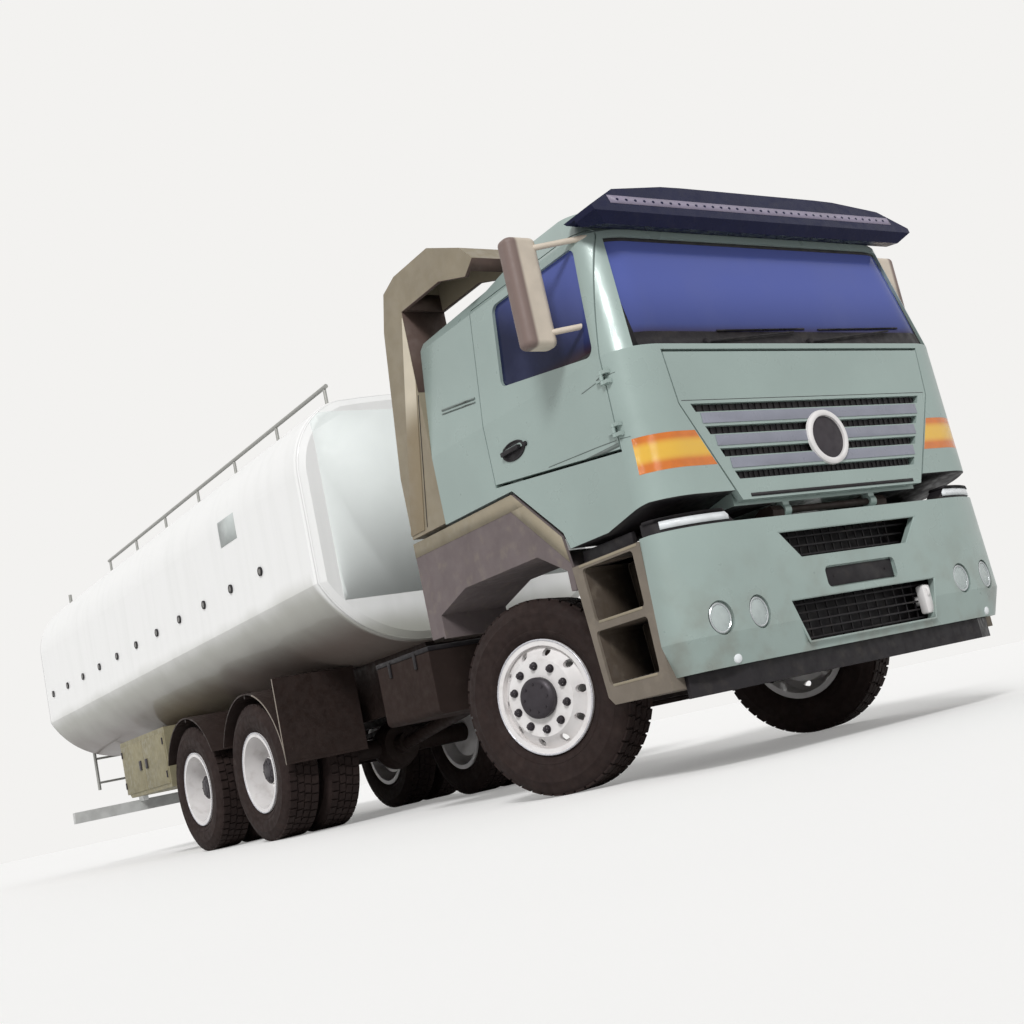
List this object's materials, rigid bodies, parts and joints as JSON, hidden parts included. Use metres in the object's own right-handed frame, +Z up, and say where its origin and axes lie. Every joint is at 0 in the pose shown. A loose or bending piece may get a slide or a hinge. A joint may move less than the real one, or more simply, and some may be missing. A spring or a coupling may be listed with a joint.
{
  "type": "tanker truck",
  "caption": "Rigid tanker truck with a tilting day cab, steered front axle, twin rear axles on dual wheels and a one-piece tank with hinged manhole lids.",
  "frame": {"origin": "on the ground, below the middle of the truck's bounding box", "axes": "+X points forward along the truck, +Y to its left, +Z up"},
  "size_m": [10.77, 2.9, 3.36],
  "materials": {
    "cab_paint": "satin",
    "visor_paint": "satin",
    "duct_paint": "satin",
    "guard_paint": "satin",
    "step_plastic": "matt",
    "glass": "clear",
    "lamp": "gloss",
    "amber": "gloss",
    "red": "gloss",
    "chassis_paint": "matt",
    "cast": "matt",
    "tank_paint": "satin",
    "rail_metal": "satin",
    "rim_metal": "satin",
    "tyre": "matt",
    "cabin_plastic": "matt",
    "seat_fabric": "matt",
    "cabinet_paint": "satin",
    "mirror_plastic": "satin"
  },
  "bodies": {
    "chassis": {"frame": "chassis_paint", "front_axle": "cast", "leaf_springs": "chassis_paint", "drive_axles": "cast", "drive_shafts": "chassis_paint", "engine_block": "cast", "cab_pivot": "chassis_paint", "bumper_beam": "chassis_paint", "front_bumper": "cab_paint", "headlamps": "lamp", "step_wells": "step_plastic", "front_mudguards": "guard_paint", "rear_mudguards": "step_plastic", "fuel_tank": "rail_metal", "battery_box": "step_plastic", "rear_cabinet": "cabinet_paint", "tank_cradle": "chassis_paint", "tank_shell": "tank_paint", "manhole_collars": "rail_metal", "guard_rail": "rail_metal", "ladder": "rail_metal", "underrun_bar": "chassis_paint", "tail_lamps": "red", "side_markers": "amber"},
    "cab": {"cab_shell": "cab_paint", "windscreen": "glass", "indicators": "amber", "sun_visor": "visor_paint", "dashboard": "cabin_plastic", "seats": "seat_fabric", "air_ducts": "duct_paint"},
    "front_flap": {"front_flap": "cab_paint"},
    "door_right": {"door_right": "cab_paint", "door_glass_right": "glass", "mirror_right": "mirror_plastic"},
    "door_left": {"door_left": "cab_paint", "door_glass_left": "glass", "mirror_left": "mirror_plastic"},
    "knuckle_right": {"knuckle_right": "cast"},
    "knuckle_left": {"knuckle_left": "cast"},
    "tie_rod": {"tie_rod": "cast"},
    "front_wheel_right": {"front_tyre_right": "tyre", "front_rim_right": "rim_metal"},
    "front_wheel_left": {"front_tyre_left": "tyre", "front_rim_left": "rim_metal"},
    "rear_wheels_1_right": {"rear_tyres_1_right": "tyre", "rear_rims_1_right": "rim_metal"},
    "rear_wheels_1_left": {"rear_tyres_1_left": "tyre", "rear_rims_1_left": "rim_metal"},
    "rear_wheels_2_right": {"rear_tyres_2_right": "tyre", "rear_rims_2_right": "rim_metal"},
    "rear_wheels_2_left": {"rear_tyres_2_left": "tyre", "rear_rims_2_left": "rim_metal"},
    "manhole_lid_1": {"manhole_lid_1": "rail_metal"},
    "manhole_lid_2": {"manhole_lid_2": "rail_metal"},
    "manhole_lid_3": {"manhole_lid_3": "rail_metal"}
  },
  "joints": [
    {"name": "cab_tilt", "type": "hinge", "parent": "chassis", "child": "cab", "pos_m": [5.28, 0, 1.15], "axis": [0, 1, 0], "range_deg": [0, 48]},
    {"name": "front_flap_hinge", "type": "hinge", "parent": "cab", "child": "front_flap", "pos_m": [5.339, 0, 1.952], "axis": [0, -1, 0], "range_deg": [0, 50]},
    {"name": "door_right_hinge", "type": "hinge", "parent": "cab", "child": "door_right", "pos_m": [5.1935, -1.212, 1.63], "axis": [0, 0, 1], "range_deg": [0, 70]},
    {"name": "door_left_hinge", "type": "hinge", "parent": "cab", "child": "door_left", "pos_m": [5.1935, 1.212, 1.63], "axis": [0, 0, -1], "range_deg": [0, 70]},
    {"name": "steer_right", "type": "hinge", "parent": "chassis", "child": "knuckle_right", "pos_m": [3.965, -0.86, 0.52], "axis": [0, 0, 1], "range_deg": [-55, 15]},
    {"name": "steer_left", "type": "hinge", "parent": "chassis", "child": "knuckle_left", "pos_m": [3.965, 0.86, 0.52], "axis": [0, 0, 1], "range_deg": [-55, 15]},
    {"name": "tie_rod_joint", "type": "hinge", "parent": "knuckle_right", "child": "tie_rod", "pos_m": [3.78646, -0.92498, 0.374], "axis": [0, 0, 1], "range_deg": [-15, 55]},
    {"name": "front_wheel_right_spin", "type": "hinge", "parent": "knuckle_right", "child": "front_wheel_right", "pos_m": [4.01972, -1.01035, 0.52], "axis": [-0.342, 0.9397, 0], "continuous": true},
    {"name": "front_wheel_left_spin", "type": "hinge", "parent": "knuckle_left", "child": "front_wheel_left", "pos_m": [3.91028, 1.01035, 0.52], "axis": [-0.342, 0.9397, 0], "continuous": true},
    {"name": "rear_wheels_1_right_spin", "type": "hinge", "parent": "chassis", "child": "rear_wheels_1_right", "pos_m": [0.265, -0.895, 0.52], "axis": [0, 1, 0], "continuous": true},
    {"name": "rear_wheels_1_left_spin", "type": "hinge", "parent": "chassis", "child": "rear_wheels_1_left", "pos_m": [0.265, 0.895, 0.52], "axis": [0, 1, 0], "continuous": true},
    {"name": "rear_wheels_2_right_spin", "type": "hinge", "parent": "chassis", "child": "rear_wheels_2_right", "pos_m": [-1.085, -0.895, 0.52], "axis": [0, 1, 0], "continuous": true},
    {"name": "rear_wheels_2_left_spin", "type": "hinge", "parent": "chassis", "child": "rear_wheels_2_left", "pos_m": [-1.085, 0.895, 0.52], "axis": [0, 1, 0], "continuous": true},
    {"name": "manhole_lid_1_hinge", "type": "hinge", "parent": "chassis", "child": "manhole_lid_1", "pos_m": [0.4225, 0, 3.093], "axis": [0, 1, 0], "range_deg": [0, 100]},
    {"name": "manhole_lid_2_hinge", "type": "hinge", "parent": "chassis", "child": "manhole_lid_2", "pos_m": [-1.375, 0, 3.093], "axis": [0, 1, 0], "range_deg": [0, 100]},
    {"name": "manhole_lid_3_hinge", "type": "hinge", "parent": "chassis", "child": "manhole_lid_3", "pos_m": [-3.1725, 0, 3.093], "axis": [0, 1, 0], "range_deg": [0, 100]}
  ],
  "couplings": [
    {"joint": "steer_left", "follows": "steer_right", "ratio": 1},
    {"joint": "tie_rod_joint", "follows": "steer_right", "ratio": -1}
  ]
}
